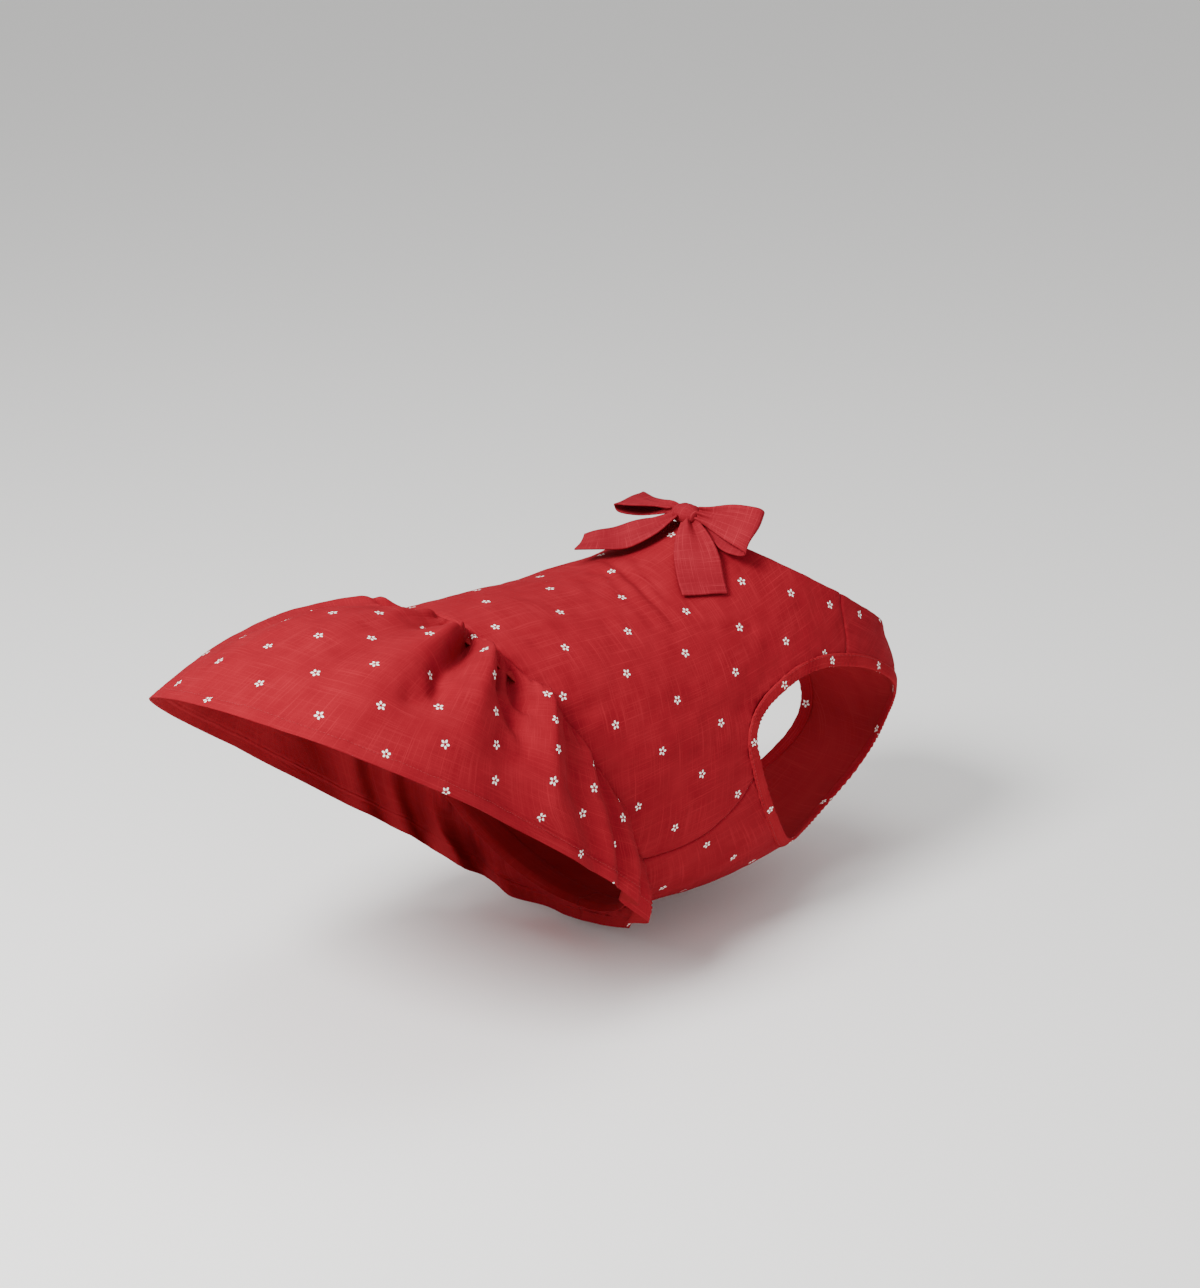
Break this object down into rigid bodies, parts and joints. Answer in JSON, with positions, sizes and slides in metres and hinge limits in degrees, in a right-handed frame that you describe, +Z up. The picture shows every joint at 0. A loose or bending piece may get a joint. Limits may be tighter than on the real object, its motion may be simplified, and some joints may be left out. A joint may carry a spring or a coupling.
{
  "type": "dog dress",
  "caption": "Sleeveless cotton dress for a large dog, with bound armholes, a gathered skirt over the rump and a ribbon bow at the neck.",
  "frame": {"origin": "Middle of the back neckline, where the dress sits on the dog's withers.", "axes": "+X points to the dog's head, +Y to the dog's left, +Z up. The back runs level along X."},
  "size_m": [0.7214, 0.3126, 0.3501],
  "materials": {
    "printed_cotton": "matt red slub cotton, printed with small five-petal flowers",
    "ribbon_cotton": "matt plain red slub cotton"
  },
  "bodies": {
    "root": {"back_panel": "printed_cotton", "belly_panel": "printed_cotton", "armhole_binding_right": "printed_cotton", "armhole_binding_left": "printed_cotton", "skirt": "printed_cotton", "bow_knot": "ribbon_cotton", "bow_loop_right": "ribbon_cotton", "bow_loop_left": "ribbon_cotton", "bow_tail_right": "ribbon_cotton", "bow_tail_left": "ribbon_cotton"}
  },
  "joints": []
}
